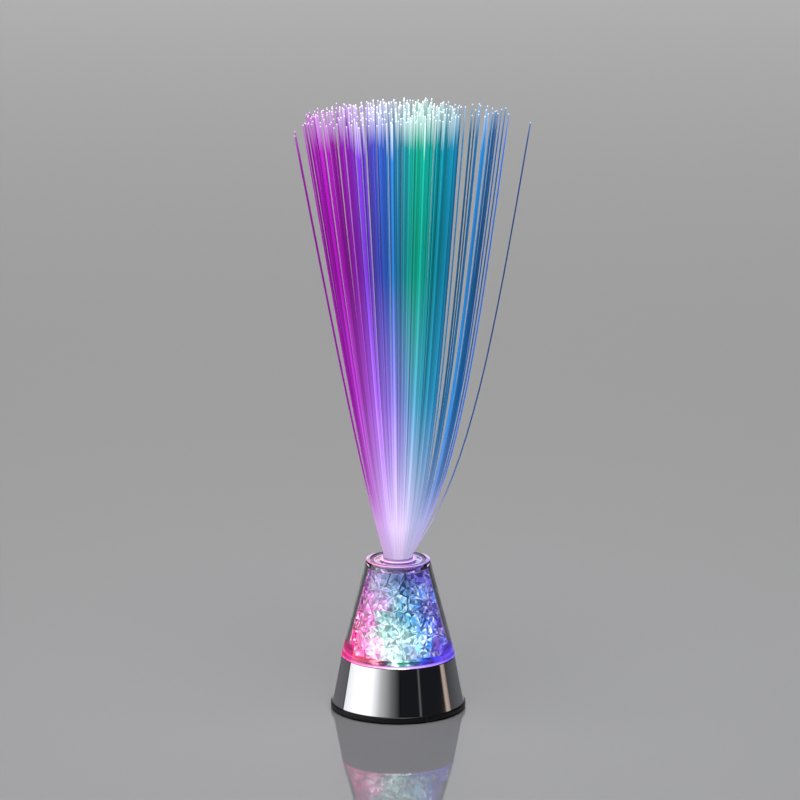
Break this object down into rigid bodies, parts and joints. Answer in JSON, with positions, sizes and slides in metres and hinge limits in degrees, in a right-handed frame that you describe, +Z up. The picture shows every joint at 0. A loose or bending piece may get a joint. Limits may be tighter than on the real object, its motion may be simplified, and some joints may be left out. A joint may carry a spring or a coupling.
{
  "type": "fiber optic lamp",
  "caption": "Free-standing lamp with a chromed base, a clear cone of lit crystals and a fan of glowing plastic fibres on a lift-out stalk.",
  "frame": {"origin": "middle of the foot, on the surface that the lamp stands on", "axes": "+Z up along the lamp's axis, -Y the front, +X to the right, towards the sparse side tuft"},
  "size_m": [0.1243, 0.072, 0.3278],
  "materials": {
    "foot_rubber": "matt",
    "black_plastic": "satin",
    "screw_steel": "plain",
    "cell_steel": "sleeved can",
    "contact_metal": "nickel plated",
    "chromed_shell": "mirror",
    "switch_case": "plain",
    "switch_knob": "plain",
    "board_green": "solder mask",
    "chip_black": "plain",
    "lamp_epoxy": "clear domed",
    "reflector_white": "white",
    "wire_red": "sleeved",
    "wire_black": "sleeved",
    "clear_acrylic": "clear",
    "acrylic_crystal": "clear chips",
    "ferrule_plastic": "white",
    "lit_fibre": "clear side-lit fibre"
  },
  "bodies": {
    "base": {"foot_ring": "foot_rubber", "foot_plate": "black_plastic", "foot_screws": "screw_steel", "board_screws": "screw_steel", "battery_box": "black_plastic", "battery_1": "cell_steel", "battery_2": "cell_steel", "battery_3": "cell_steel", "contact_positive": "contact_metal", "contact_negative": "contact_metal", "contact_link_left": "contact_metal", "contact_link_right": "contact_metal", "contact_spring_1": "contact_metal", "contact_spring_2": "contact_metal", "contact_spring_3": "contact_metal", "base_shell": "chromed_shell", "switch_body": "switch_case", "circuit_board": "board_green", "driver_chip": "chip_black", "led_1": "lamp_epoxy", "led_2": "lamp_epoxy", "led_3": "lamp_epoxy", "reflector_cup": "reflector_white", "wire_red": "wire_red", "wire_black": "wire_black", "wire_switched": "wire_red", "chamber_floor": "clear_acrylic", "crystal_chamber": "clear_acrylic", "chamber_lid": "clear_acrylic", "light_tube": "clear_acrylic", "crystals_lower": "acrylic_crystal", "crystals_middle": "acrylic_crystal", "crystals_upper": "acrylic_crystal"},
    "fibre_stalk": {"fibre_ferrule": "ferrule_plastic", "bonded_bundle": "clear_acrylic", "fibre_core": "lit_fibre", "fibre_inner": "lit_fibre", "fibre_middle": "lit_fibre", "fibre_outer": "lit_fibre", "fibre_side_tuft": "lit_fibre", "fibre_strays": "lit_fibre"},
    "door": {"battery_door": "black_plastic"},
    "slider": {"switch_slider": "switch_knob"}
  },
  "joints": [
    {"name": "stalk_lift", "type": "slide", "parent": "base", "child": "fibre_stalk", "axis": [0, 0, 1], "range_m": [0, 0.055]},
    {"name": "door_hinge", "type": "hinge", "parent": "base", "child": "door", "pos_m": [-0.0233, 0, 0.002], "axis": [0, 1, 0], "range_deg": [0, 80]},
    {"name": "switch_slide", "type": "slide", "parent": "base", "child": "slider", "axis": [-1, 0, 0], "range_m": [0, 0.003]}
  ]
}
